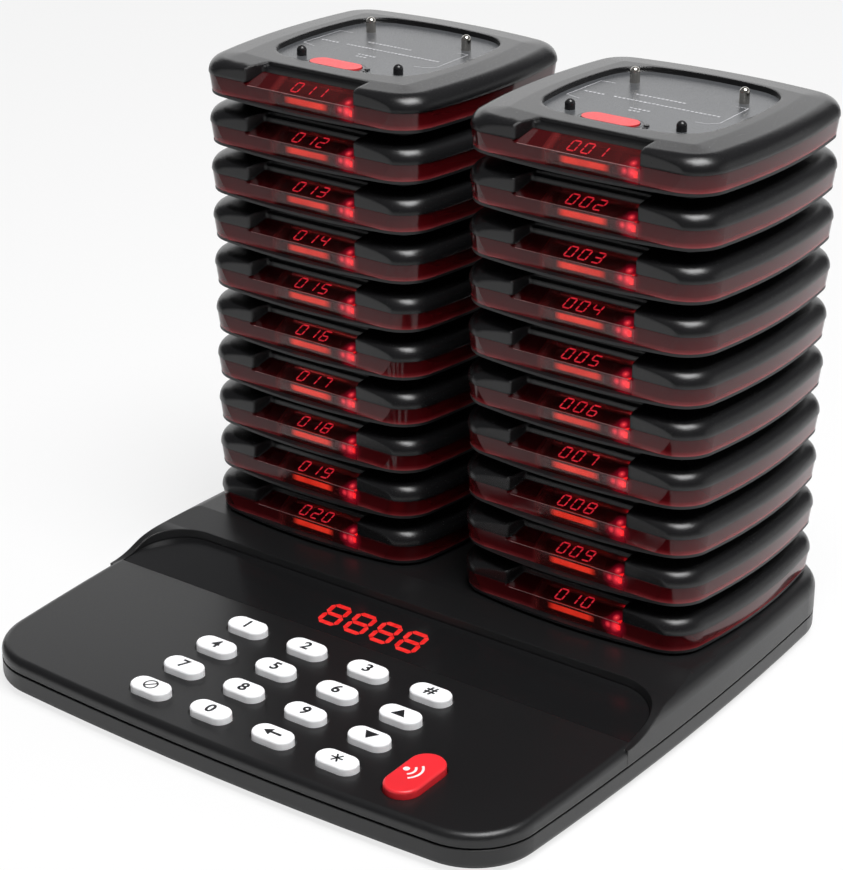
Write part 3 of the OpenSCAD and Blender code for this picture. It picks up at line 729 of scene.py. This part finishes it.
recessPrint = {
    "frame": [(-25.0, 14.6), (-30.4, 14.2), (-30.8, -6.0), (-24.8, -7.6)],
    "frameRight": [(21.0, 14.2), (25.2, 14.6), (26.0, -5.0), (23.0, -8.0), (19.0, -8.4)],
    "lines": [(-12.7, 7.6, 7.7), (-28.3, 1.0, -20.0), (-17.0, 1.0, 23.8),
              (-6.0, -7.0, 2.0), (-5.0, -9.5, 1.0)],
    "lineWidth": 0.3, "dash": (1.1, 0.5), "dashHeight": 0.9,
    "low": 0.015, "high": 0.035,
    # the dot is painted shade for a small hole beside the button, and the gap is the width of the
    # painted shade round the button
    "dot": (9.2, -21.6), "holeShadeRadius": 0.95, "holeShadeHigh": 0.5, "gap": 0.5,
}


def dashes(x0, y, x1):
    # a row of plain marks where the printed text runs
    long, gap = recessPrint["dash"]
    shapes = []
    for i in range(int((x1 - x0) / (long + gap))):
        start = x0 + i * (long + gap)
        shapes += bar(start, y, start + long, y, recessPrint["dashHeight"])
    return shapes


def buttonGapShade(node, origin, steps=12):
    # painted shade: the dark gap round the push button, as two black half bands
    low, high = ((corner - origin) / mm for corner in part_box(node))
    middle, half = (low + high) / 2, (high.y - low.y) / 2
    reach = (high.x - low.x) / 2 - half
    rings = []
    for radius in (half, half + recessPrint["gap"]):
        ring = []
        for end, start in ((reach, -90), (-reach, 90)):
            for i in range(steps + 1):
                angle = math.radians(start + 180 * i / steps)
                ring.append((middle.x + end + radius * math.cos(angle),
                             middle.y + radius * math.sin(angle)))
        rings.append(ring)
    inner, outer = rings
    count = len(inner)
    outlines = []
    for first in (0, count // 2):
        places = [(first + i) % count for i in range(count // 2 + 1)]
        outlines.append([outer[i] for i in places] + [inner[i] for i in reversed(places)])
    return outlines


for side in stackSides.values():
    name = pagerName(side, 1)
    origin = pagerOrigin(side, 1) + Vector((0, 0, pagerSizes["recessFloor"])) * mm
    shapes = []
    for path in (recessPrint["frame"], recessPrint["frameRight"]):
        for (x0, y0), (x1, y1) in zip(path, path[1:]):
            shapes += bar(x0, y0, x1, y1, recessPrint["lineWidth"])
    for x0, y, x1 in recessPrint["lines"]:
        shapes += dashes(x0, y, x1)
    floorPlate = Plate(origin, (1, 0, 0), (0, 0, 1))
    low, high = recessPrint["low"], recessPrint["high"]
    marks = flatShapes(name + "_print", floorPlate, shapes, low, high, greyInk)
    # painted shade: a black disc for the dark inside of the small hole beside the button
    holeShadeShape = disc(recessPrint["holeShadeRadius"], centre=recessPrint["dot"])
    dot = flatShapes(name + "_hole_shade", floorPlate, holeShadeShape, low, recessPrint["holeShadeHigh"], blackResin)
    # painted shade in the gap round the push button
    gap = flatShapes(name + "_button_gap_shade", floorPlate, buttonGapShade(name + "_button", origin),
                     low, high, blackResin)
    for piece, slotName in ((marks, "pager_plastic"), (dot, "black_resin"), (gap, "black_resin")):
        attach(piece, name)
print("printing made")


camera = {
    "place": (0.451062, -0.610829, 0.414385),
    "turnDegrees": 36.2995, "downDegrees": 23.7437, "rollDegrees": 0.1017,
    "lens": 102.657, "sensor": 36.0,
}
camData = bpy.data.cameras.new("studioCamera")
camData.lens = camera["lens"]
camData.sensor_width = camera["sensor"]
cam = bpy.data.objects.new("studioCamera", camData)
bpy.context.scene.collection.objects.link(cam)
turn = Matrix.Rotation(math.radians(camera["turnDegrees"]), 4, "Z")
tip = Matrix.Rotation(math.radians(90 - camera["downDegrees"]), 4, "X")
roll = Matrix.Rotation(math.radians(camera["rollDegrees"]), 4, "Z")
cam.matrix_world = Matrix.Translation(camera["place"]) @ turn @ tip @ roll
bpy.context.scene.camera = cam

floorLook = {"size": 24.0, "drop": 0.0002, "white": 0.85, "cameraShare": 0.78}


def floorMaterial():
    material = bpy.data.materials.new("paleFloor")
    material.use_nodes = True
    nodes, links = material.node_tree.nodes, material.node_tree.links
    nodes.clear()
    output = nodes.new("ShaderNodeOutputMaterial")
    matt = nodes.new("ShaderNodeBsdfDiffuse")
    matt.inputs["Color"].default_value = (floorLook["white"],) * 3 + (1,)
    white = nodes.new("ShaderNodeEmission")
    rays = nodes.new("ShaderNodeLightPath")
    share = nodes.new("ShaderNodeMath")
    share.operation = "MULTIPLY"
    share.inputs[1].default_value = floorLook["cameraShare"]
    links.new(rays.outputs["Is Camera Ray"], share.inputs[0])
    mix = nodes.new("ShaderNodeMixShader")
    links.new(share.outputs[0], mix.inputs["Fac"])
    links.new(matt.outputs[0], mix.inputs[1])
    links.new(white.outputs[0], mix.inputs[2])
    links.new(mix.outputs[0], output.inputs["Surface"])
    return material


half = floorLook["size"] / 2
floor = meshFrom("floor", [(-half, -half, -floorLook["drop"]), (half, -half, -floorLook["drop"]),
                           (half, half, -floorLook["drop"]), (-half, half, -floorLook["drop"])],
                 [(0, 1, 2, 3)], floorMaterial())

# "glow" is the brightness of the panel itself, 1 being white
lamps = {
    "topBox": {"place": (0.45, -0.15, 1.4), "aim": (0, 0, 0.1), "size": (0.8, 0.8), "glow": 13},
    "backWall": {"place": (-1.3, 1.78, 0.7), "aim": (0, 0, 0.7), "size": (3.2, 1.4), "glow": 1.1},
    "rightWall": {"place": (1.75, 1.35, 0.45), "aim": (0, 0, 0.45), "size": (2.4, 0.9), "glow": 0.5},
}
for name, look in lamps.items():
    light = bpy.data.lights.new(name, "AREA")
    light.shape = "RECTANGLE"
    light.size, light.size_y = look["size"]
    light.energy = look["glow"] * math.pi * light.size * light.size_y
    lamp = bpy.data.objects.new(name, light)
    lamp.visible_camera = False
    lamp.location = look["place"]
    aim = Vector(look["aim"]) - Vector(look["place"])
    lamp.rotation_euler = aim.to_track_quat("-Z", "Y").to_euler()
    bpy.context.scene.collection.objects.link(lamp)

worldLook = {"fill": (0.12, 0.12, 0.125)}
world = bpy.data.worlds.new("studioWorld")
world.use_nodes = True
worldNodes, worldLinks = world.node_tree.nodes, world.node_tree.links
fill = worldNodes["Background"]
fill.inputs["Color"].default_value = (*worldLook["fill"], 1)
white = worldNodes.new("ShaderNodeBackground")
white.inputs["Color"].default_value = (1, 1, 1, 1)
rays = worldNodes.new("ShaderNodeLightPath")
mix = worldNodes.new("ShaderNodeMixShader")
worldLinks.new(rays.outputs["Is Camera Ray"], mix.inputs["Fac"])
worldLinks.new(fill.outputs[0], mix.inputs[1])
worldLinks.new(white.outputs[0], mix.inputs[2])
worldLinks.new(mix.outputs[0], worldNodes["World Output"].inputs["Surface"])
bpy.context.scene.world = world
bpy.context.scene.view_settings.view_transform = "Standard"
print("camera, floor and lamps set")
